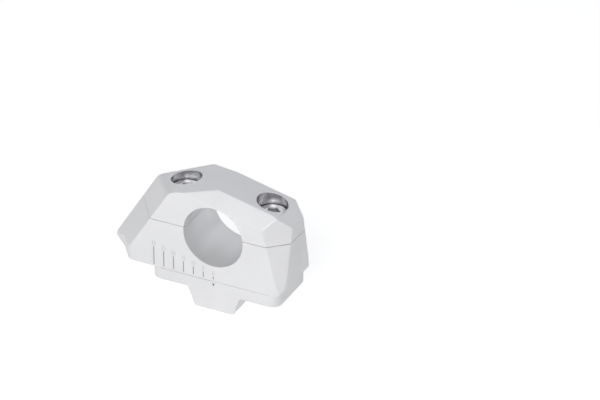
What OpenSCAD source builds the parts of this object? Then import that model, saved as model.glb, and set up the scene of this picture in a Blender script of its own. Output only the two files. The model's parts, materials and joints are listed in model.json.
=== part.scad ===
// Adjustable handlebar riser: a base that seats in the fork clamp's own bar saddle,
// and a two-part bar clamp that slides on it to set the offset.
// Frame: X is the sliding direction, Y lies along the handlebar, Z is up.
// The origin is midway between the two base bolts, on the underside of the base plate.

/* [Handlebar clamp] */
// Diameter of the handlebar
bar_d = 28.6; // [22.2:0.1:30]
// Height of the bar axis above the underside of the base plate
bar_h = 28.4; // [27:0.1:40]
// Chamfer at both mouths of the bar bore
bore_chamfer = 0.5; // [0.2:0.1:1.5]
// Length of the clamp along the handlebar
depth = 30; // [28:0.5:50]
// Height of the split between the clamp halves, above the bar axis
split_up = 1.75; // [0:0.05:3]
// Gap between the clamp halves when they are tightened
split_gap = 0.2; // [0.1:0.1:1]

/* [Clamp outline] */
// Distance from the bar axis to the flat right end
end_x = 34.6; // [32:0.1:45]
// Undercut along the bottom of the right end
end_undercut = 3.1; // [1:0.1:4]
// Height of the roof ridge above the bar axis
ridge_up = 21.3; // [19:0.1:28]
// Fall of the right half of the roof, for each unit of length
roof_fall_right = 0.235; // [0.1:0.005:0.3]
// Fall of the left half of the roof, for each unit of length
roof_fall_left = 0.155; // [0.1:0.005:0.25]
// Distance from the bar axis to the edge where the roof turns down to the right end
cap_x = 28.2; // [26:0.1:32]
// Height of the sloping cap between the roof and the right end
cap_h = 5.8; // [3:0.1:8]
// Height of the slanted roof bevels on the front and back faces
bevel_h = 5.9; // [2:0.1:6]
// Length of the right corner facets along X, at the split
corner_x = 8.5; // [2:0.1:10]
// Length of the right corner facets along Y, at the split
corner_y = 7.9; // [2:0.1:10]
// Lean of the right corner facets, for each unit of height
corner_lean = 0.25; // [0:0.01:0.3]
// Radius of the right corners, in plan
corner_r = 5; // [1:0.1:6]

/* [Prow] */
// Distance from the bar axis to the front shoulder
shoulder_x = 43; // [38:0.1:50]
// Distance from the bar axis to the back shoulder
shoulder_back_x = 42; // [38:0.1:50]
// Radius of both shoulders, in plan
shoulder_r = 5; // [1:0.1:8]
// Distance from the bar axis to the tip, before it is rounded
tip_x = 59.3; // [56:0.1:70]
// Distance from the middle plane to the tip, towards the back
tip_y = 2.3; // [0:0.1:5]
// Radius of the tip, in plan
tip_r = 1; // [0.5:0.1:2]
// Distance from the bar axis to the waist in front of the tip
waist_x = 50.7; // [48:0.1:52]
// Distance from the middle plane to the waist, towards the front
waist_y = 5.3; // [4:0.1:8]
// Distance from the bar axis to the front flank at the front face, at the split
flank_x = 31.6; // [30:0.1:36]
// Distance from the bar axis to the back flank at the back face, at the split
flank_back_x = 29.1; // [28:0.1:34]
// Distance from the bar axis to the crest between the flanks, at the split
crest_x = 44.7; // [42:0.1:48]
// Distance from the middle plane to the crest, towards the back
crest_y = 2.8; // [0:0.1:5]
// Lean of the flanks, for each unit of height
flank_lean = 0.645; // [0.4:0.005:0.7]

/* [Base] */
// Length of the base plate
base_l = 63.8; // [60:0.1:68]
// Thickness of the base plate
plate_t = 5.8; // [5:0.1:8]
// Radius of the base plate's corners
base_r = 5; // [1:0.5:6]
// Width of the saddle tongue at the plate
tongue_top = 26.2; // [20:0.1:30]
// Width of the saddle tongue at its foot
tongue_foot = 19.4; // [14:0.1:20]
// Height of the saddle tongue
tongue_h = 9.3; // [5:0.1:12]
// Radius at the foot of the saddle tongue
tongue_r = 1.5; // [0.3:0.1:2]
// Distance between the two base bolts
bolt_span = 44; // [43:0.5:46]
// Diameter of the base bolts
bolt_d = 8; // [6:1:8]

/* [Slide] */
// Longest offset that the slide allows
travel = 30; // [20:1:31]
// Length of the dovetail rail
rail_l = 25; // [18:0.5:26]
// Height of the dovetail rail
rail_h = 5; // [4:0.1:5.5]
// Width across the top of the dovetail rail
rail_w = 14; // [10:0.1:14.5]
// Overhang of each dovetail flank
rail_hang = 1.5; // [1:0.1:1.6]
// Distance of the rail from the middle plane, towards the front
rail_front = 3; // [2:0.1:3]
// Thickness of the gib along its top
gib_t = 2.5; // [2:0.1:3]

/* [Screws] */
// Distance from the bar axis to the left clamp screw
screw_left = 20.7; // [20.5:0.1:22]
// Distance from the bar axis to the right clamp screw
screw_right = 22; // [20.5:0.1:22.5]
// Diameter of the clamp screws
screw_d = 8; // [6:1:8]
// Length of the clamp screws under the head
screw_l = 20; // [18:1:20]
// Depth of the counterbores, on the screw axis
counterbore_deep = 9.5; // [7:0.1:10]
// Diameter of the lock screws
lock_d = 5; // [4:0.5:5]
// Number of lock screws
lock_count = 3; // [2:1:4]

/* [Offset scale] */
// Distance between two marks
mark_step = 5; // [2.5:2.5:10]
// Height of the mark for no offset
mark_first = 1.5; // [1:0.1:3]
// Growth in height from one mark to the next
mark_growth = 1.3; // [0:0.1:1.4]
// Width of a mark
mark_w = 0.5; // [0.3:0.1:1]
// Depth of the engraving
mark_deep = 0.2; // [0.1:0.05:0.4]

/* [Clearances] */
// Gap under the sliding clamp
slide_gap = 0.1; // [0.05:0.05:0.2]
// Gap beside the rail
flank_gap = 0.1; // [0.05:0.05:0.2]
// Gap above and past the ends of the rail
rail_gap = 0.3; // [0.2:0.1:0.5]
// Gap round a threaded shank
thread_gap = 0.05; // [0.02:0.01:0.1]
// Gap round a shank in a plain hole
shank_gap = 0.3; // [0.2:0.05:0.5]
// Gap round a screw head
head_gap = 0.55; // [0.4:0.05:1]

/* [Hidden] */
$fn = 96;
// Small overlap that lets a cut run past the face it opens
past = 1;
// A length that is larger than the part
big = 200;
// Share that lets the circle of a rounded corner cross the edges beside it
blend = 1.001;

bar_r = bar_d / 2;
front = -depth / 2;
clamp_floor = plate_t + slide_gap;
split_z = bar_h + split_up;
lower_top = split_z - split_gap / 2;
upper_floor = split_z + split_gap / 2;
ridge_z = bar_h + ridge_up;

// The rail's section, from its root to its top
rail_y = -rail_front;
rail_top_z = plate_t + rail_h;
rail_root_w = rail_w - 2 * rail_hang;
// The gib can draw back by both overhangs, so that the clamp drops over the rail
gib_back = rail_y + rail_w / 2 + flank_gap + gib_t;
gib_draw = 2 * rail_hang;
pocket_l = rail_l + travel + 2 * rail_gap;
pocket_right = rail_l / 2 + rail_gap;
pocket_top = rail_top_z + rail_gap;
pocket_back = gib_back + gib_draw;
gib_l = pocket_l - 2 * rail_gap;

// Screw sizes in proportion to the thread
head_d = 1.625 * screw_d;
head_h = 0.625 * screw_d;
socket_af = 0.75 * screw_d;
socket_deep = 0.45 * screw_d;
head_edge = 0.06 * screw_d;
counterbore_r = head_d / 2 + head_gap;
tap_spare = 2;
bolt_hole_r = bolt_d / 2 + 0.25;
countersink_r = bolt_d + 0.2;
lock_wall = 1;
lock_z = clamp_floor + lock_wall + lock_d / 2;
lock_recess = 0.4;
lock_l = depth / 2 - lock_recess - gib_back;
lock_pitch = (gib_l - 13) / (lock_count - 1);
lock_x0 = pocket_right - rail_gap - 6.5;

mark_count = floor(travel / mark_step) + 1;
mark_lift = 1;
pointer_w = 1.2;
pointer_h = 1.5;

function roof_z(x) = ridge_z - (x > 0 ? roof_fall_right * x : -roof_fall_left * x);
function screw_x(side) = side < 0 ? -screw_left : screw_right;
function seat_z(side) = roof_z(screw_x(side)) - counterbore_deep;
function lock_x(i) = lock_x0 - i * lock_pitch;
function unit(v) = v / norm(v);

// Everything beyond the plane through p whose outward normal is n
module beyond(p, n) {
    translate(p) rotate([0, acos(n.z / norm(n)), atan2(n.y, n.x)])
        translate([-big, -big, 0]) cube([2 * big, 2 * big, big]);
}

// The same cut on the front and on the back
module both_sides() {
    children();
    mirror([0, 1, 0]) children();
}

// Extrudes an outline drawn in X and Z along the handlebar
module along_bar(w) {
    rotate([90, 0, 0]) translate([0, 0, -w / 2]) linear_extrude(w) children();
}

// Side outline of both clamp halves, with the undercut and the sloping cap at the right end
module side_outline() {
    polygon([
        [-tip_x, clamp_floor], [end_x - end_undercut, clamp_floor],
        [end_x, clamp_floor + end_undercut], [end_x, roof_z(cap_x) - cap_h],
        [cap_x, roof_z(cap_x)], [0, ridge_z], [-tip_x, roof_z(-tip_x)]
    ]);
}

// Polygon with its corners rounded; each corner is given as x, y and radius
module rounded_polygon(corners) {
    n = len(corners);
    at = [for (c = corners) [c.x, c.y]];
    difference() {
        polygon(at);
        for (i = [0 : n - 1]) if (corners[i].z > 0) {
            ahead = unit(at[(i + 1) % n] - at[i]);
            behind = unit(at[(i + n - 1) % n] - at[i]);
            half = acos(ahead * behind) / 2;
            setback = corners[i].z / tan(half);
            inward = unit(ahead + behind);
            difference() {
                polygon([at[i] + setback * behind, at[i] - past * inward, at[i] + setback * ahead]);
                translate(at[i] + corners[i].z / sin(half) * inward) circle(blend * corners[i].z);
            }
        }
    }
}

// Plan of both clamp halves: square at the right, pointed at the left
module plan_outline() {
    rounded_polygon([
        [end_x, front, corner_r], [end_x, -front, corner_r], [-shoulder_back_x, -front, shoulder_r],
        [-tip_x, tip_y, tip_r], [-waist_x, -waist_y, 0], [-shoulder_x, front, shoulder_r]
    ]);
}

// Outer form of the clamp before it is split
module clamp_form() {
    difference() {
        intersection() {
            along_bar(depth) side_outline();
            linear_extrude(big / 2) plan_outline();
        }
        beyond([-flank_x, front, split_z], [-1, -(crest_x - flank_x) / (crest_y - front), flank_lean]);
        beyond([-flank_back_x, -front, split_z],
            [-1, (crest_x - flank_back_x) / (-front - crest_y), flank_lean]);
        both_sides() {
            beyond([end_x - corner_x, front, split_z], [corner_y, -corner_x, corner_lean * corner_y]);
            beyond([0, front, ridge_z - bevel_h], [roof_fall_right, -1, 1]);
        }
    }
}

// The bar bore with its two chamfered mouths
module bar_bore() {
    translate([0, 0, bar_h]) rotate([90, 0, 0]) {
        cylinder(r = bar_r, h = depth + 2 * past, center = true);
        for (side = [-1, 1])
            translate([0, 0, side * depth / 2]) rotate([90 - 90 * side, 0, 0])
                translate([0, 0, -past])
                    cylinder(r1 = bar_r + bore_chamfer + past, r2 = bar_r, h = bore_chamfer + past);
    }
}

// Lines of growing height, one for each step of the offset
module offset_marks() {
    for (i = [0 : mark_count - 1])
        translate([-i * mark_step - mark_w / 2, front - past, clamp_floor + mark_lift])
            cube([mark_w, past + mark_deep, mark_first + i * mark_growth]);
}

// Section of the rail, grown sideways and upwards by a gap
module rail_section(side_gap, top_gap) {
    lean = rail_hang / rail_h;
    polygon([
        [-rail_root_w / 2 - side_gap + lean * past, -past], [rail_root_w / 2 + side_gap - lean * past, -past],
        [rail_w / 2 + side_gap + lean * top_gap, rail_h + top_gap],
        [-rail_w / 2 - side_gap - lean * top_gap, rail_h + top_gap]
    ]);
}

// Sweeps a section drawn in Y and Z along the slide
module along_slide(l) {
    rotate([90, 0, 90]) linear_extrude(l) children();
}

// Room under the clamp for the rail and the gib
module slide_pocket() {
    translate([pocket_right - pocket_l, 0, 0]) {
        translate([0, rail_y, plate_t]) along_slide(pocket_l) rail_section(flank_gap, rail_gap);
        translate([0, rail_y, plate_t - past]) cube([pocket_l, pocket_back - rail_y, rail_h + rail_gap + past]);
    }
}

module base_plate() {
    color("lightgray") difference() {
        union() {
            linear_extrude(plate_t) {
                square([base_l - 2 * base_r, depth], center = true);
                square([base_l, depth - 2 * base_r], center = true);
                for (x = [-1, 1], y = [-1, 1])
                    translate([x * (base_l / 2 - base_r), y * (depth / 2 - base_r)]) circle(base_r);
            }
            along_bar(depth) offset(tongue_r, $fn = 24) offset(-tongue_r) polygon([
                [-tongue_foot / 2, -tongue_h], [tongue_foot / 2, -tongue_h],
                [tongue_top / 2, 0], [tongue_top / 2, tongue_r * 2],
                [-tongue_top / 2, tongue_r * 2], [-tongue_top / 2, 0]
            ]);
            translate([-rail_l / 2, rail_y, plate_t]) along_slide(rail_l) rail_section(0, 0);
        }
        for (side = [-1, 1]) translate([side * bolt_span / 2, 0, 0]) {
            translate([0, 0, -past]) cylinder(r = bolt_hole_r, h = plate_t + 2 * past);
            translate([0, 0, plate_t + bolt_hole_r - countersink_r])
                cylinder(r1 = bolt_hole_r, r2 = countersink_r + past, h = countersink_r - bolt_hole_r + past);
        }
        // Pointer under the mark that reads the offset
        translate([0, front + mark_deep, plate_t - mark_lift]) rotate([90, 0, 0])
            linear_extrude(mark_deep + past)
                polygon([[-pointer_w / 2, 0], [pointer_w / 2, 0], [0, -pointer_h]]);
    }
}

module lower_clamp() {
    color("gainsboro") difference() {
        intersection() {
            clamp_form();
            translate([-big / 2, -big / 2, 0]) cube([big, big, lower_top]);
        }
        bar_bore();
        offset_marks();
        slide_pocket();
        for (side = [-1, 1]) {
            tap_floor = seat_z(side) - screw_l - tap_spare;
            translate([screw_x(side), 0, tap_floor])
                cylinder(r = screw_d / 2 + thread_gap, h = big);
        }
        for (i = [0 : lock_count - 1])
            translate([lock_x(i), gib_back, lock_z]) rotate([-90, 0, 0])
                cylinder(r = lock_d / 2 + thread_gap, h = big);
    }
}

module upper_clamp() {
    color("gainsboro") difference() {
        intersection() {
            clamp_form();
            translate([-big / 2, -big / 2, upper_floor]) cube([big, big, big]);
        }
        bar_bore();
        for (side = [-1, 1]) translate([screw_x(side), 0, 0]) {
            cylinder(r = screw_d / 2 + shank_gap, h = big);
            translate([0, 0, seat_z(side)]) cylinder(r = counterbore_r, h = big);
        }
    }
}

// Low cylinder head screw with a hexagon socket, seated at the origin
module clamp_screw() {
    tip = 0.12 * screw_d;
    color("silver") difference() {
        rotate_extrude() polygon([
            [0, -screw_l], [screw_d / 2 - tip, -screw_l], [screw_d / 2, tip - screw_l], [screw_d / 2, 0],
            [head_d / 2, 0], [head_d / 2, head_h - head_edge], [head_d / 2 - head_edge, head_h], [0, head_h]
        ]);
        translate([0, 0, head_h - socket_deep]) rotate([0, 0, 26])
            cylinder(r = socket_af / sqrt(3), h = socket_deep + past, $fn = 6);
    }
}

module clamp_screw_left() {
    translate([screw_x(-1), 0, seat_z(-1)]) clamp_screw();
}

module clamp_screw_right() {
    translate([screw_x(1), 0, seat_z(1)]) clamp_screw();
}

// Tapered bar that the lock screws press against the back flank of the rail
module gib() {
    foot = clamp_floor - plate_t;
    root = rail_y + rail_root_w / 2 + flank_gap;
    lean = rail_hang / rail_h;
    color("dimgray")
        translate([pocket_right - rail_gap - gib_l, 0, plate_t]) along_slide(gib_l) polygon([
            [root + lean * foot, foot], [gib_back, foot], [gib_back, rail_h], [root + rail_hang, rail_h]
        ]);
}

// Grub screws with hexagon sockets, reached from the back
module lock_screws() {
    edge = 0.12 * lock_d;
    socket = 0.5 * lock_d;
    color("dimgray") for (i = [0 : lock_count - 1])
        translate([lock_x(i), gib_back + thread_gap, lock_z]) rotate([-90, 0, 0]) difference() {
            rotate_extrude() polygon([
                [0, 0], [lock_d / 2 - 2 * edge, 0], [lock_d / 2, 2 * edge],
                [lock_d / 2, lock_l - edge], [lock_d / 2 - edge, lock_l], [0, lock_l]
            ]);
            translate([0, 0, lock_l - socket]) cylinder(r = socket / sqrt(3), h = socket + past, $fn = 6);
        }
}

base_plate();
lower_clamp();
upper_clamp();
clamp_screw_left();
clamp_screw_right();
gib();
lock_screws();
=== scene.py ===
"""Looks for the sliding handlebar riser, built round its solids.

Lengths are in millimetres while a piece is made, and every mesh is scaled to metres at the end.
"""

import json
import math
from collections import namedtuple

import bmesh
import bpy
from mathutils import Matrix, Vector

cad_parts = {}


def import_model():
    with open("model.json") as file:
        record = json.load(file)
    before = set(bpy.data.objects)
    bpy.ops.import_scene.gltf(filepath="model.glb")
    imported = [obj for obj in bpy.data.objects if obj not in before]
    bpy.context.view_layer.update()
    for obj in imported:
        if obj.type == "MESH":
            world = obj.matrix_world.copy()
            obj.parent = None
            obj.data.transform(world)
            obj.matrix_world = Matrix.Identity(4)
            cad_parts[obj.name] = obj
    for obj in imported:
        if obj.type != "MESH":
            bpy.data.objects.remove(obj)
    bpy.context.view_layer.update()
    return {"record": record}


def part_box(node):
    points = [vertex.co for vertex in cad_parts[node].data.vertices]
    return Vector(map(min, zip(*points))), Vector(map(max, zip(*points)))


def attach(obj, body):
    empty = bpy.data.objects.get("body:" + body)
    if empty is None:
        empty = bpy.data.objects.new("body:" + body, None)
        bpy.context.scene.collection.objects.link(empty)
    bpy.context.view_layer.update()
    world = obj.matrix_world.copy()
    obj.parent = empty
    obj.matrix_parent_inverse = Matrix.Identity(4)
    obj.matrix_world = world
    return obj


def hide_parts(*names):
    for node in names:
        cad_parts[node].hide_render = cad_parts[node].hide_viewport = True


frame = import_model()
scene = bpy.context.scene


def corners_mm(node):
    """Lowest and highest corner of a solid at rest, in millimetres."""
    return [[round(1000 * v, 2) for v in corner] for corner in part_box(node)]


MOUNTS = {mount["name"]: mount for mount in frame["record"]["mounts"]}
LOWER_LOW, LOWER_HIGH = corners_mm("lower_clamp")
UPPER_LOW, UPPER_HIGH = corners_mm("upper_clamp")
BASE_LOW, BASE_HIGH = corners_mm("base_plate")
GIB_LOW, GIB_HIGH = corners_mm("gib")
LOCKS_LOW, LOCKS_HIGH = corners_mm("lock_screws")

# A cut runs this far past the face that it opens
PAST = 1

# Clamp, from the side
FRONT = LOWER_LOW[1]
END_X = LOWER_HIGH[0]
FLOOR_Z = LOWER_LOW[2]
LOWER_TOP = LOWER_HIGH[2]
UPPER_FLOOR = UPPER_LOW[2]
SPLIT_Z = (LOWER_TOP + UPPER_FLOOR) / 2
RIDGE_Z = UPPER_HIGH[2]
FALL_RIGHT = 0.235
FALL_LEFT = 0.155
BEVEL_Z = RIDGE_Z - 5.9
CAP_X = 28.2
CAP_H = 5.8
END_UNDERCUT = 3.1
ROOF_ROUND_R = 6
CAP_STEPS = 7
FLANK_STEPS = 10

# Clamp, from above, at the split
CORNER_X = 8.5
CORNER_Y = 7.9
CORNER_LEAN = 0.25
CORNER_R = 5
SHOULDER_X = 43
SHOULDER_BACK_X = 42
SHOULDER_R = 5
TIP = (-59.3, 2.3)
TIP_R = 1
WAIST = (-50.7, -5.3)
FLANK_X = 31.6
FLANK_BACK_X = 29.1
CREST_X = 44.7
CREST_Y = 2.8
FLANK_LEAN = 0.645
CORNER_STEPS = 12

# Bore
BAR_Z = 1000 * MOUNTS["bar_clamp"]["pos_m"][2]
BAR_R = MOUNTS["bar_clamp"]["dims"]["r_mm"]
LEAD_IN = 0.45
LEAD_IN_L = 1.6

# Clamp screws, their counterbores and their tapped holes
SIDES = {"left": -1, "right": 1}
SCREW_XS = {side: sum(c[0] for c in corners_mm(f"clamp_screw_{tag}")) / 2 for tag, side in SIDES.items()}
SCREW_R = 4.0
SCREW_L = 20
HEAD_R = 6.5
HEAD_H = 5
# Places on the rounded edge of a head, as far in from its rim and down from its top
HEAD_EDGE = ((0, 0.7), (0.06, 0.45), (0.25, 0.18), (0.55, 0.03), (0.75, 0))
# Out to the corners of the hexagon
SOCKET_R = 6 / math.sqrt(3)
COUNTERBORE_R = HEAD_R + 0.55
COUNTERBORE_DEEP = 9.5
SEATS = {-1: RIDGE_Z + FALL_LEFT * SCREW_XS[-1] - COUNTERBORE_DEEP,
         1: RIDGE_Z - FALL_RIGHT * SCREW_XS[1] - COUNTERBORE_DEEP}
SHANK_HOLE_R = SCREW_R + 0.3
TAPPED_R = SCREW_R + 0.05
TAPPED_L = SCREW_L + 2

# Base plate, tongue, rail and gib
TRAVEL = 30
PLATE_X = BASE_HIGH[0]
PLATE_T = 5.8
PLATE_R = 5
TONGUE_TOP = 26.2
TONGUE_FOOT = 19.4
TONGUE_H = -BASE_LOW[2]
TONGUE_R = 1.5
BOLT_X = MOUNTS["base_bolts"]["dims"]["spacing_x_mm"] / 2
BOLT_HOLE_R = MOUNTS["base_bolts"]["dims"]["hole_r_mm"]
COUNTERSINK_R = 8.2
RAIL_L = 25
RAIL_H = 5
RAIL_W = 14
RAIL_HANG = 1.5
RAIL_LEAN = RAIL_HANG / RAIL_H
RAIL_Y = -3
RAIL_GAP = 0.3
FLANK_GAP = 0.1
GIB_T = 2.5

# Lock screws
LOCK_R = 2.5
LOCK_COUNT = 3
LOCK_INSET = 6.5
LOCK_PITCH = (GIB_HIGH[0] - GIB_LOW[0] - 2 * LOCK_INSET) / (LOCK_COUNT - 1)
LOCK_XS = [GIB_HIGH[0] - LOCK_INSET - LOCK_PITCH * i for i in range(LOCK_COUNT)]
LOCK_Z = (LOCKS_LOW[2] + LOCKS_HIGH[2]) / 2
# Out to the corners of the hexagon
LOCK_SOCKET_R = 2.5 / math.sqrt(3)

# Scale and pointer
MARK_STEP = 5
MARK_Z = FLOOR_Z + 1
MARK_W = 0.5
MARK_DEEP = 0.2
# Place along X, height and value of each mark
MARKS = [(-MARK_STEP * i, 1.5 + 1.3 * i, MARK_STEP * i) for i in range(TRAVEL // MARK_STEP + 1)]
POINTER_W = 1.2
POINTER_H = 1.5
POINTER_TOP = PLATE_T - 1

# Edges: widths, the share that some of them keep, and the distance within which places count as one
CLAMP_EASE = 0.35
BASE_EASE = 0.3
GIB_EASE = 0.2
SPLIT_SHARE = 0.3
BEVEL_SHARE = 0.35
FLOOR_SHARE = 0.6
RIM_SHARE = 0.45
TOUCH = 0.01


def link(name, mesh):
    o = bpy.data.objects.new(name, mesh)
    scene.collection.objects.link(o)
    return o


def from_bmesh(name, bm):
    bmesh.ops.recalc_face_normals(bm, faces=bm.faces[:])
    mesh = bpy.data.meshes.new(name)
    bm.to_mesh(mesh)
    bm.free()
    return link(name, mesh)


def apply_modifiers(o):
    """Turns the object's modifiers into its mesh."""
    bpy.context.view_layer.update()
    deps = bpy.context.evaluated_depsgraph_get()
    mesh = bpy.data.meshes.new_from_object(o.evaluated_get(deps))
    old = o.data
    o.modifiers.clear()
    o.data = mesh
    bpy.data.meshes.remove(old)


def boolean(o, other, operation="DIFFERENCE"):
    m = o.modifiers.new("boolean", "BOOLEAN")
    m.solver = "EXACT"
    m.operation = operation
    m.object = other
    apply_modifiers(o)
    mesh = other.data
    bpy.data.objects.remove(other)
    bpy.data.meshes.remove(mesh)


def unit(v):
    return Vector(v).normalized()


def cut_solid(planes):
    """Convex solid inside the planes, each given as a point on it and its outward normal."""
    bm = bmesh.new()
    bmesh.ops.create_cube(bm, size=400)
    for point, normal in planes:
        cut = bmesh.ops.bisect_plane(
            bm, geom=bm.verts[:] + bm.edges[:] + bm.faces[:], dist=1e-4,
            plane_co=Vector(point), plane_no=unit(normal), clear_outer=True)
        rim = [g for g in cut["geom_cut"] if isinstance(g, bmesh.types.BMEdge)]
        if rim:
            bmesh.ops.edgeloop_fill(bm, edges=rim)
    return bm


def fillet(a, b, radius, steps):
    """Planes that round the edge where planes a and b meet."""
    na, nb = unit(a[1]), unit(b[1])
    da, db = na.dot(Vector(a[0])) - radius, nb.dot(Vector(b[0])) - radius
    k = na.dot(nb)
    centre = na * ((da - k * db) / (1 - k * k)) + nb * ((db - k * da) / (1 - k * k))
    found = []
    for i in range(1, steps):
        n = na.slerp(nb, i / steps).normalized()
        found.append((centre + n * radius, n))
    return found


def mirrored(planes):
    """The planes and their mirror images in the middle plane."""
    out = []
    for p, n in planes:
        out.append((p, n))
        out.append(((p[0], -p[1], p[2]), (n[0], -n[1], n[2])))
    return out


def lathe(name, profile, at=(0, 0, 0), axis="Z", steps=96, turn=0.0):
    """Closed solid turned from (radius, height) points about an axis through a point."""
    bm = bmesh.new()
    rings = []
    for r, z in profile:
        if r < 1e-9:
            rings.append([bm.verts.new((0, 0, z))])
        else:
            rings.append([bm.verts.new((r * math.cos(turn + 2 * math.pi * i / steps),
                                        r * math.sin(turn + 2 * math.pi * i / steps), z))
                          for i in range(steps)])
    for low, high in zip(rings, rings[1:]):
        for i in range(steps):
            j = (i + 1) % steps
            corners = [low[i % len(low)], low[j % len(low)], high[j % len(high)], high[i % len(high)]]
            unique = list(dict.fromkeys(corners))
            if len(unique) > 2:
                bm.faces.new(unique)
    for ring in (rings[0], rings[-1]):
        if len(ring) > 1:
            bm.faces.new(ring)
    spin = {"Z": Matrix.Identity(4), "Y": Matrix.Rotation(-math.pi / 2, 4, "X")}[axis]
    bm.transform(Matrix.Translation(at) @ spin)
    return from_bmesh(name, bm)


def prism(name, outline, start, end, along="Y"):
    """Outline in X and Z swept along Y, in Y and Z swept along X, or in X and Y swept along Z."""
    place = {
        "Y": lambda p, t: (p[0], t, p[1]),
        "X": lambda p, t: (t, p[0], p[1]),
        "Z": lambda p, t: (p[0], p[1], t),
    }[along]
    bm = bmesh.new()
    ends = [[bm.verts.new(place(p, t)) for p in outline] for t in (start, end)]
    bm.faces.new(ends[0])
    bm.faces.new(ends[1])
    for i in range(len(outline)):
        j = (i + 1) % len(outline)
        bm.faces.new([ends[0][i], ends[0][j], ends[1][j], ends[1][i]])
    return from_bmesh(name, bm)


def arc(centre, radius, start, end, steps):
    """Points on an arc, with its angles in degrees."""
    return [(centre[0] + radius * math.cos(math.radians(start + (end - start) * i / steps)),
             centre[1] + radius * math.sin(math.radians(start + (end - start) * i / steps)))
            for i in range(steps + 1)]


def ease(o, width, weigh, least=20):
    """Rounds the sharp edges. weigh gives each edge's share of the width from its two ends."""
    bm = bmesh.new()
    bm.from_mesh(o.data)
    bmesh.ops.dissolve_limit(bm, angle_limit=math.radians(0.1), verts=bm.verts[:], edges=bm.edges[:])
    layer = bm.edges.layers.float.new("bevel_weight_edge")
    for e in bm.edges:
        sharp = len(e.link_faces) == 2 and e.calc_face_angle() > math.radians(least)
        e[layer] = weigh(e.verts[0].co, e.verts[1].co) if sharp else 0.0
    bm.to_mesh(o.data)
    bm.free()
    m = o.modifiers.new("bevel", "BEVEL")
    m.limit_method = "WEIGHT"
    m.width = width
    m.segments = 2
    m.use_clamp_overlap = False
    apply_modifiers(o)
    o.data.attributes.remove(o.data.attributes["bevel_weight_edge"])
    bm = bmesh.new()
    bm.from_mesh(o.data)
    bmesh.ops.remove_doubles(bm, verts=bm.verts[:], dist=TOUCH)
    bm.to_mesh(o.data)
    bm.free()


def finish_piece(o, material, body, nodes=()):
    """Scales to metres, sets the shading and the material, hangs the piece on its body and hides the solids
    that it replaces.
    """
    o.data.transform(Matrix.Scale(0.001, 4))
    o.data.shade_smooth()
    o.data.set_sharp_from_angle(angle=math.radians(32))
    o.data.materials.clear()
    o.data.materials.append(material)
    m = o.modifiers.new("normals", "WEIGHTED_NORMAL")
    m.keep_sharp = True
    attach(o, body)
    if nodes:
        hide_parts(*nodes)


def shader(name, colour, metallic, roughness):
    mat = bpy.data.materials.new(name)
    mat.use_nodes = True
    nodes, links = mat.node_tree.nodes, mat.node_tree.links
    bsdf = nodes["Principled BSDF"]
    bsdf.inputs["Base Color"].default_value = (*colour, 1)
    bsdf.inputs["Metallic"].default_value = metallic
    bsdf.inputs["Roughness"].default_value = roughness
    mat.diffuse_color = (*colour, 1)
    return mat, nodes, links, bsdf


def noise(nodes, links, place, scale, detail):
    n = nodes.new("ShaderNodeTexNoise")
    n.inputs["Scale"].default_value = scale
    n.inputs["Detail"].default_value = detail
    links.new(place, n.inputs["Vector"])
    return n.outputs["Fac"]


def mapped(nodes, links, value, low, high):
    """Spreads the middle of a noise over the range from low to high."""
    m = nodes.new("ShaderNodeMapRange")
    m.inputs["From Min"].default_value = 0.3
    m.inputs["From Max"].default_value = 0.7
    m.inputs["To Min"].default_value = low
    m.inputs["To Max"].default_value = high
    links.new(value, m.inputs["Value"])
    return m.outputs["Result"]


# Cloud: scale, detail, darkest and lightest share of the colour. Grain: scale, the roughness that it
# takes away and adds, and the strength and depth in metres of its bumps.
Finish = namedtuple("Finish", (
    "cloud_scale", "cloud_detail", "dark", "light",
    "grain_scale", "smoother", "rougher", "strength", "depth"))
# Bead blasted and clear anodised: a fine even grain with hardly any cloudiness
BLASTED = Finish(60, 4, 0.975, 1.02, 2600, 0.05, 0.06, 0.25, 0.00002)


def turned(scale):
    """Machined finish: a faint uneven tone and a fine grain."""
    return Finish(scale, 3, 0.9, 1.08, scale * 9, 0.06, 0.08, 0.2, 0.00001)


def grained(name, colour, metallic, roughness, finish):
    """Material whose colour is slightly cloudy and whose gloss and surface have a fine grain."""
    mat, nodes, links, bsdf = shader(name, colour, metallic, roughness)
    place = nodes.new("ShaderNodeTexCoord").outputs["Object"]
    cloud = noise(nodes, links, place, finish.cloud_scale, finish.cloud_detail)
    grain = noise(nodes, links, place, finish.grain_scale, 2)
    mix = nodes.new("ShaderNodeMix")
    mix.data_type = "RGBA"
    mix.inputs["A"].default_value = (*[c * finish.dark for c in colour], 1)
    mix.inputs["B"].default_value = (*[min(1, c * finish.light) for c in colour], 1)
    links.new(mapped(nodes, links, cloud, 0, 1), mix.inputs["Factor"])
    links.new(mix.outputs["Result"], bsdf.inputs["Base Color"])
    gloss = mapped(nodes, links, grain, roughness - finish.smoother, roughness + finish.rougher)
    links.new(gloss, bsdf.inputs["Roughness"])
    bump = nodes.new("ShaderNodeBump")
    bump.inputs["Strength"].default_value = finish.strength
    bump.inputs["Distance"].default_value = finish.depth
    links.new(grain, bump.inputs["Height"])
    links.new(bump.outputs["Normal"], bsdf.inputs["Normal"])
    return mat


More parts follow.
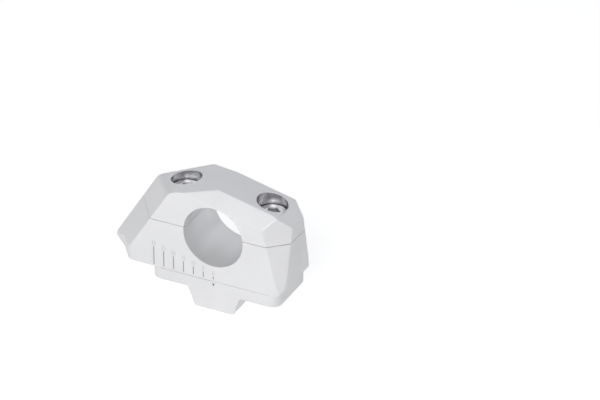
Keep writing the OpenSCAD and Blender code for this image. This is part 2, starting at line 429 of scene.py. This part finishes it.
CLAMP = grained("clamp_aluminium", (0.785, 0.786, 0.80), 0.4, 0.5, BLASTED)
BASE = grained("base_aluminium", (0.78, 0.78, 0.79), 0.4, 0.5, BLASTED)
MACHINED = grained("machined_aluminium", (0.66, 0.66, 0.68), 0.95, 0.3, turned(500))
STEEL = grained("screw_steel", (0.62, 0.62, 0.63), 0.9, 0.34, turned(500))
BLACK = grained("lock_steel", (0.12, 0.12, 0.13), 0.6, 0.45, turned(700))
BRASS = grained("gib_metal", (0.72, 0.56, 0.30), 0.95, 0.35, turned(400))
# Colour of the fill in the pointer's engraving: painted shade that stands for the shade inside it
POINTER_SHADE = grained("pointer_shade_fill", (0.13, 0.13, 0.14), 0.0, 0.6, turned(1500))
# Colour of the fill in the scale's engraved lines: painted shade that stands for the shade in the grooves
MARK = grained("line_shade_fill", (0.34, 0.34, 0.35), 0.0, 0.6, turned(1500))
PALE = grained("number_etch", (0.60, 0.60, 0.61), 0.0, 0.6, turned(1500))


# Planes of the clamp's form, each given as a point on it and its outward normal
front_face = ((0, FRONT, 0), (0, -1, 0))
flank_front = ((-FLANK_X, FRONT, SPLIT_Z), (-1, -(CREST_X - FLANK_X) / (CREST_Y - FRONT), FLANK_LEAN))
flank_back = ((-FLANK_BACK_X, -FRONT, SPLIT_Z),
              (-1, (CREST_X - FLANK_BACK_X) / (-FRONT - CREST_Y), FLANK_LEAN))
facet = ((END_X - CORNER_X, FRONT, SPLIT_Z), (CORNER_Y, -CORNER_X, CORNER_LEAN * CORNER_Y))
roof_right = ((0, 0, RIDGE_Z), (FALL_RIGHT, 0, 1))
roof_left = ((0, 0, RIDGE_Z), (-FALL_LEFT, 0, 1))
roof_bevel = ((0, FRONT, BEVEL_Z), (FALL_RIGHT, -1, 1))
# The cap slopes from the roof down to the flat end
cap = ((CAP_X, 0, RIDGE_Z - FALL_RIGHT * CAP_X), (CAP_H, 0, END_X - CAP_X))


def bar_bore():
    """The bore, with a slight lead-in at both mouths."""
    mouth = BAR_R + LEAD_IN
    half = [(BAR_R, -FRONT - LEAD_IN_L), (mouth, -FRONT), (mouth + 0.2, -FRONT + 2)]
    return lathe("bore", [(r, -y) for r, y in reversed(half)] + half, (0, 0, BAR_Z), "Y", 144)


def split_share(a, b):
    """Edges along the split are nearly crisp, and the rest are eased."""
    if abs(a.z - b.z) < TOUCH and min(abs(a.z - LOWER_TOP), abs(a.z - UPPER_FLOOR)) < TOUCH:
        return SPLIT_SHARE
    if all(abs(p.y) > -FRONT - TOUCH and abs(p.z - BEVEL_Z + FALL_RIGHT * p.x) < 0.05 for p in (a, b)):
        return BEVEL_SHARE
    if abs(a.z - FLOOR_Z) < TOUCH and abs(b.z - FLOOR_Z) < TOUCH:
        return FLOOR_SHARE
    return 1.0


def inside_counterbore(points, x):
    """Whether all the points lie within the counterbore, or on its wall, at this place along X."""
    return all(math.hypot(p.x - x, p.y) < COUNTERBORE_R + 0.02 for p in points)


def upper_clamp():
    planes = [((0, 0, UPPER_FLOOR), (0, 0, -1)), ((END_X, 0, 0), (1, 0, 0)), roof_right, roof_left, cap,
              flank_front, flank_back]
    planes += mirrored([front_face, facet, roof_bevel])
    planes += fillet(cap, roof_right, ROOF_ROUND_R, CAP_STEPS)
    for flank in (flank_front, flank_back):
        planes += fillet(flank, roof_left, ROOF_ROUND_R, FLANK_STEPS)
    o = from_bmesh("upper_clamp_form", cut_solid(planes))
    seat_r = 0.2
    below, above = 20, 60
    for side, seat in SEATS.items():
        profile = [(SHANK_HOLE_R, below), (SHANK_HOLE_R, seat), (COUNTERBORE_R - seat_r, seat),
                   (COUNTERBORE_R, seat + seat_r), (COUNTERBORE_R, above)]
        boolean(o, lathe("counterbore", profile, (SCREW_XS[side], 0, 0)))

    def share(a, b):
        """Edges at the counterbores' rims are crisper, and those further down are left."""
        for side, seat in SEATS.items():
            if inside_counterbore((a, b), SCREW_XS[side]):
                return RIM_SHARE if min(a.z, b.z) > seat + 3 else 0.0
        return split_share(a, b)

    ease(o, CLAMP_EASE, share, 25)
    boolean(o, bar_bore())
    return o


def slide_pocket():
    """Room for the rail and the gib under the lower half."""
    low, high = PLATE_T - PAST, PLATE_T + RAIL_H + RAIL_GAP
    back = GIB_HIGH[1] + 2 * RAIL_HANG
    foot = RAIL_Y - RAIL_W / 2 + RAIL_HANG - FLANK_GAP + RAIL_LEAN * PAST
    top = RAIL_Y - RAIL_W / 2 - FLANK_GAP - RAIL_LEAN * RAIL_GAP
    right = RAIL_L / 2 + RAIL_GAP
    left = -RAIL_L / 2 - TRAVEL - RAIL_GAP
    return prism("pocket", [(foot, low), (back, low), (back, high), (top, high)], left, right, "X")


def rounded(corners):
    """Plan outline from corners given anticlockwise as x, y and radius."""
    points = []
    for i, (x, y, radius) in enumerate(corners):
        p = Vector((x, y))
        u = (Vector(corners[i - 1][:2]) - p).normalized()
        v = (Vector(corners[(i + 1) % len(corners)][:2]) - p).normalized()
        if radius == 0:
            points.append((x, y))
            continue
        half = u.angle(v) / 2
        centre = p + (u + v).normalized() * radius / math.sin(half)
        first = p + u * radius / math.tan(half) - centre
        turn = math.pi - 2 * half
        start = math.atan2(first.y, first.x)
        angles = [start + turn * k / CORNER_STEPS for k in range(CORNER_STEPS + 1)]
        points += [(centre.x + radius * math.cos(a), centre.y + radius * math.sin(a)) for a in angles]
    return points


def lower_clamp():
    planes = [((0, 0, FLOOR_Z), (0, 0, -1)), ((0, 0, LOWER_TOP), (0, 0, 1)),
              ((END_X, 0, FLOOR_Z + END_UNDERCUT), (1, 0, -1)), flank_front, flank_back]
    planes += mirrored([facet])
    o = from_bmesh("lower_clamp_form", cut_solid(planes))
    plan = rounded([
        (END_X, FRONT, CORNER_R), (END_X, -FRONT, CORNER_R), (-SHOULDER_BACK_X, -FRONT, SHOULDER_R),
        (*TIP, TIP_R), (*WAIST, 0), (-SHOULDER_X, FRONT, SHOULDER_R)])
    boolean(o, prism("plan", plan, -PAST, 60, "Z"), "INTERSECT")
    ease(o, CLAMP_EASE, split_share)
    boolean(o, slide_pocket())
    boolean(o, bar_bore())
    mouth_z = LOWER_TOP - 0.65
    for side, seat in SEATS.items():
        profile = [(0, seat - TAPPED_L - 1.5), (TAPPED_R, seat - TAPPED_L), (TAPPED_R, mouth_z),
                   (TAPPED_R + PAST, mouth_z + PAST)]
        boolean(o, lathe("tapped_hole", profile, (SCREW_XS[side], 0, 0), steps=64))
    hole_r, mouth_y = LOCK_R + 0.05, -FRONT - 0.4
    for x in LOCK_XS:
        profile = [(hole_r, GIB_HIGH[1]), (hole_r, mouth_y), (hole_r + PAST, mouth_y + PAST)]
        boolean(o, lathe("lock_hole", profile, (x, 0, LOCK_Z), "Y", 48))
    for x, height, _ in MARKS:
        left, right, top = x - MARK_W / 2, x + MARK_W / 2, MARK_Z + height
        boolean(o, prism("mark", [(left, MARK_Z), (right, MARK_Z), (right, top), (left, top)],
                         FRONT - PAST, FRONT + MARK_DEEP))
    return o


def mark_fills():
    """Dark fill in the engraved lines, a little below the face: the lines are real, and their dark fill is
    painted shade that stands for the shade in the grooves.
    """
    gap, thickness, below = 0.02, 0.16, 0.13
    bm = bmesh.new()
    for x, height, _ in MARKS:
        fill = bmesh.ops.create_cube(bm, size=1)["verts"]
        bmesh.ops.scale(bm, vec=(MARK_W - gap, thickness, height - gap), verts=fill)
        bmesh.ops.translate(bm, vec=(x, FRONT + below, MARK_Z + height / 2), verts=fill)
    return from_bmesh("mark_fills", bm)


def numbers():
    """Etched numbers over the lines, from 0 to 30."""
    size, lift, squeeze = 3.15, 0.7, 0.72
    stand = Matrix.Rotation(math.pi / 2, 4, "X") @ Matrix.Diagonal((squeeze, 1, 1, 1))
    made = []
    for x, height, value in MARKS:
        curve = bpy.data.curves.new("number", "FONT")
        curve.body = str(value)
        curve.size = size
        curve.align_x = "CENTER"
        curve.extrude = 0.03
        curve.resolution_u = 4
        o = link("number", curve)
        bpy.context.view_layer.update()
        mesh = bpy.data.meshes.new_from_object(o.evaluated_get(bpy.context.evaluated_depsgraph_get()))
        bpy.data.objects.remove(o)
        mesh.transform(Matrix.Translation((x, FRONT, MARK_Z + height + lift)) @ stand)
        made.append(mesh)
    bm = bmesh.new()
    for mesh in made:
        bm.from_mesh(mesh)
        bpy.data.meshes.remove(mesh)
    return from_bmesh("numbers", bm)


def base_profile():
    """Plate and tongue from the front, with the tongue's foot rounded."""
    lean = math.degrees(math.atan2((TONGUE_TOP - TONGUE_FOOT) / 2, TONGUE_H))
    foot = TONGUE_FOOT / 2 - TONGUE_R * math.tan(math.radians((90 - lean) / 2))
    right_foot = arc((foot, TONGUE_R - TONGUE_H), TONGUE_R, -90, -lean, 8)
    left_foot = [(-x, z) for x, z in reversed(right_foot)]
    root = TONGUE_TOP / 2
    return left_foot + right_foot + [
        (root, 0), (PLATE_X, 0), (PLATE_X, PLATE_T), (-PLATE_X, PLATE_T), (-PLATE_X, 0), (-root, 0)]


def rail():
    """Dovetail rail, sunk a little into the plate, with its top edges taken off."""
    sink, edge_y, edge_z = 0.1, 0.15, 0.2
    half_root = RAIL_W / 2 - RAIL_HANG - RAIL_LEAN * sink
    half_top = RAIL_W / 2
    top = PLATE_T + RAIL_H
    section = [(RAIL_Y - half_root, PLATE_T - sink), (RAIL_Y + half_root, PLATE_T - sink),
               (RAIL_Y + half_top, top - edge_z), (RAIL_Y + half_top - edge_y, top),
               (RAIL_Y - half_top + edge_y, top), (RAIL_Y - half_top, top - edge_z)]
    return prism("rail", section, -RAIL_L / 2, RAIL_L / 2, "X")


def bolt_hole(x):
    """Plain hole through the plate, eased below and countersunk above."""
    ease_h = 0.2
    countersink_z = PLATE_T - (COUNTERSINK_R - BOLT_HOLE_R)
    profile = [(BOLT_HOLE_R + ease_h + PAST, -PAST), (BOLT_HOLE_R, ease_h), (BOLT_HOLE_R, countersink_z),
               (COUNTERSINK_R + PAST, PLATE_T + PAST)]
    return lathe("bolt_hole", profile, (x, 0, 0))


def pointer(name, side_gap, top_gap, tip_gap, start, end):
    """Small triangle below the scale, smaller than its engraving by the gaps."""
    half = POINTER_W / 2 - side_gap
    top = POINTER_TOP - top_gap
    return prism(name, [(-half, top), (half, top), (0, POINTER_TOP - POINTER_H + tip_gap)], start, end)


def base_plate():
    o = prism("base_form", base_profile(), FRONT, -FRONT)
    corner_x, corner_y = PLATE_X - PLATE_R, -FRONT - PLATE_R
    plan = []
    for x, y, start in ((corner_x, corner_y, 0), (-corner_x, corner_y, 90), (-corner_x, -corner_y, 180),
                        (corner_x, -corner_y, 270)):
        plan += arc((x, y), PLATE_R, start, start + 90, CORNER_STEPS)
    boolean(o, prism("plan", plan, -20, 20, "Z"), "INTERSECT")
    ease(o, BASE_EASE, lambda a, b: 1.0)
    boolean(o, rail(), "UNION")
    for side in (-1, 1):
        boolean(o, bolt_hole(side * BOLT_X))
    boolean(o, pointer("pointer_cut", 0, 0, 0, FRONT - PAST, FRONT + MARK_DEEP))
    return o


# Dark fill in the pointer's engraving: painted shade that stands for the shade inside it
def pointer_fill():
    return pointer("pointer_fill", 0.03, 0.02, 0.05, FRONT + 0.05, FRONT + 0.22)


def threaded(name, major, minor, pitch, start, end, steps=48):
    """Shank with a helical thread that fades out at both ends."""
    rows_per_turn, steepness, root = 8, 2.6, 0.3
    bm = bmesh.new()
    rows = max(rows_per_turn, int((end - start) / (pitch / rows_per_turn)))
    rings = []
    for k in range(rows + 1):
        z = start + (end - start) * k / rows
        near = min(z - start, end - z) / pitch
        ring = []
        for i in range(steps):
            wave = (z / pitch - i / steps) % 1.0
            crest = max(0.0, min(1.0, (0.5 - abs(wave - 0.5)) * steepness - root))
            r = minor + (major - minor) * crest
            r = min(r, minor + (major - minor) * 2 * near)
            ring.append(bm.verts.new((r * math.cos(2 * math.pi * i / steps),
                                      r * math.sin(2 * math.pi * i / steps), z)))
        rings.append(ring)
    for low, high in zip(rings, rings[1:]):
        for i in range(steps):
            j = (i + 1) % steps
            bm.faces.new([low[i], low[j], high[j], high[i]])
    bm.faces.new(rings[0])
    bm.faces.new(rings[-1])
    return from_bmesh(name, bm)


def join(a, b):
    """Adds b's mesh to a's."""
    bm = bmesh.new()
    bm.from_mesh(a.data)
    bm.from_mesh(b.data)
    bm.to_mesh(a.data)
    bm.free()
    mesh = b.data
    bpy.data.objects.remove(b)
    bpy.data.meshes.remove(mesh)


def clamp_screw(side):
    """Low-headed socket screw with its thread, head up, on its seat."""
    neck_r, neck_l, edge = SCREW_R - 0.05, 2.2, 0.2
    head = lathe("screw_head", [
        (0, -neck_l), (neck_r, -neck_l), (neck_r, 0), (HEAD_R - edge, 0), (HEAD_R, edge),
        *[(HEAD_R - inward, HEAD_H - down) for inward, down in HEAD_EDGE], (0, HEAD_H)], steps=96)
    above = HEAD_H + PAST
    boolean(head, lathe("socket", [(0, 0.6), (SOCKET_R, 1.4), (SOCKET_R, above)],
                        steps=6, turn=math.radians(26)))
    boolean(head, lathe("lead_in", [(0, 3.0), (3.0, 4.5), (4.0, 5.5)], steps=48))
    join(head, threaded("screw_thread", SCREW_R, 3.35, 1.25, -SCREW_L, -2))
    head.data.transform(Matrix.Translation((SCREW_XS[side], 0, SEATS[side])))
    return head


def lock_screw(x):
    """Grub screw in the back face, with its socket outwards."""
    length, core = 7.95, 1.9
    body = lathe("lock_cup", [
        (0, 0), (1.3, 0), (core, 0.6), (core, 7.3), (2.2, 7.55), (core, length), (0, length)], steps=48)
    boolean(body, lathe("lock_socket", [(0, 4.9), (LOCK_SOCKET_R, 5.4), (LOCK_SOCKET_R, 9)], steps=6))
    join(body, threaded("lock_thread", LOCK_R, 2.1, 0.8, 0.5, 7.9, 36))
    body.data.transform(Matrix.Translation((x, LOCKS_LOW[1], LOCK_Z)) @ Matrix.Rotation(-math.pi / 2, 4, "X"))
    return body


def lock_screws():
    first, *others = [lock_screw(x) for x in LOCK_XS]
    for other in others:
        join(first, other)
    return first


def gib():
    low, high = GIB_LOW[2], GIB_HIGH[2]
    back = GIB_HIGH[1]
    o = prism("gib_form", [(GIB_LOW[1], low), (back, low), (back, high), (back - GIB_T, high)],
              GIB_LOW[0], GIB_HIGH[0], "X")
    ease(o, GIB_EASE, lambda a, b: 1.0)
    return o


def machine_counterbores(o):
    """Gives the faces inside the counterbores the machined metal, once the piece is in metres."""
    o.data.materials.append(MACHINED)
    for face in o.data.polygons:
        points = [o.data.vertices[v].co * 1000 for v in face.vertices]
        if any(inside_counterbore(points, x) for x in SCREW_XS.values()):
            face.material_index = 1


upper = upper_clamp()
upper.name = "upper_clamp_body"
finish_piece(upper, CLAMP, "clamp", ["upper_clamp"])
machine_counterbores(upper)
lower = lower_clamp()
lower.name = "lower_clamp_body"
finish_piece(lower, CLAMP, "clamp", ["lower_clamp"])
base = base_plate()
base.name = "base_body"
finish_piece(base, BASE, "base", ["base_plate"])
for tag, sign in SIDES.items():
    screw = clamp_screw(sign)
    screw.name = f"cap_screw_{tag}"
    finish_piece(screw, STEEL, "clamp", [f"clamp_screw_{tag}"])
locks = lock_screws()
locks.name = "grub_screws"
finish_piece(locks, BLACK, "clamp", ["lock_screws"])
strip = gib()
strip.name = "gib_strip"
finish_piece(strip, BRASS, "clamp", ["gib"])
finish_piece(mark_fills(), MARK, "clamp")
finish_piece(numbers(), PALE, "clamp")
finish_piece(pointer_fill(), POINTER_SHADE, "base")

# Strength of the white that the camera sees in the floor and the backdrop
WHITE = 0.62


def white_share(nodes, links, low, high):
    """Strength that rises from low to high for rays that see the backdrop rather than light by it."""
    path = nodes.new("ShaderNodeLightPath")
    value = path.outputs["Is Camera Ray"]
    for name in ("Is Glossy Ray", "Is Transmission Ray"):
        most = nodes.new("ShaderNodeMath")
        most.operation = "MAXIMUM"
        links.new(value, most.inputs[0])
        links.new(path.outputs[name], most.inputs[1])
        value = most.outputs[0]
    level = nodes.new("ShaderNodeMapRange")
    level.inputs["To Min"].default_value = low
    level.inputs["To Max"].default_value = high
    links.new(value, level.inputs["Value"])
    return level.outputs["Result"]


def floor():
    """Wide white floor that the tongue's foot stands on."""
    bm = bmesh.new()
    bmesh.ops.create_grid(bm, x_segments=1, y_segments=1, size=4)
    bm.transform(Matrix.Translation((0, 0, -TONGUE_H / 1000)))
    o = from_bmesh("floor", bm)
    mat = bpy.data.materials.new("floor_white")
    mat.use_nodes = True
    nodes, links = mat.node_tree.nodes, mat.node_tree.links
    nodes.clear()
    out = nodes.new("ShaderNodeOutputMaterial")
    paper = nodes.new("ShaderNodeBsdfDiffuse")
    paper.inputs["Color"].default_value = (0.85, 0.85, 0.85, 1)
    glow = nodes.new("ShaderNodeEmission")
    links.new(white_share(nodes, links, 0, WHITE), glow.inputs["Strength"])
    add = nodes.new("ShaderNodeAddShader")
    links.new(paper.outputs[0], add.inputs[0])
    links.new(glow.outputs[0], add.inputs[1])
    links.new(add.outputs[0], out.inputs["Surface"])
    o.data.materials.append(mat)


def softbox(name, turn, lift, power, tint=(1, 1, 1)):
    """Round area light at 1 m, turned from the front towards +X and lifted, in degrees."""
    turn, lift = math.radians(turn), math.radians(lift)
    at = Vector((math.sin(turn) * math.cos(lift), -math.cos(turn) * math.cos(lift), math.sin(lift)))
    light = bpy.data.lights.new(name, "AREA")
    light.shape = "DISK"
    light.size = 0.6
    light.energy = power
    light.color = tint
    o = link(name, light)
    o.location = at
    o.rotation_mode = "QUATERNION"
    o.rotation_quaternion = (Vector((0, 0, 0.02)) - at).to_track_quat("-Z", "Y")


def world():
    w = bpy.data.worlds.new("studio")
    w.use_nodes = True
    nodes, links = w.node_tree.nodes, w.node_tree.links
    links.new(white_share(nodes, links, 0.07, WHITE), nodes["Background"].inputs["Strength"])
    nodes["Background"].inputs["Color"].default_value = (1, 1, 1, 1)
    scene.world = w


def camera():
    """Long lens from the front right and above, with a slight roll."""
    data = bpy.data.cameras.new("camera")
    data.sensor_width = 36
    data.lens = 156
    o = link("camera", data)
    at = (0.465244, -0.888781, 0.608531)
    turn, lift, roll = math.radians(25.81), math.radians(29.546), math.radians(0.315)
    o.matrix_world = (Matrix.Translation(at) @ Matrix.Rotation(turn, 4, "Z")
                      @ Matrix.Rotation(math.pi / 2 - lift, 4, "X") @ Matrix.Rotation(roll, 4, "Z"))
    scene.camera = o


# Tint of the lights at the back and the top
COOL = (0.93, 0.955, 1)

floor()
world()
softbox("front_left", -35, 20, 2.6)
softbox("front_right", 25, 20, 3.9)
softbox("front_high", 0, 45, 1.15)
softbox("back_left", -135, 40, 0.55, COOL)
softbox("back_right", 135, 40, 0.95, COOL)
softbox("top", 180, 75, 1.35, COOL)
camera()

scene.view_settings.view_transform = "Standard"
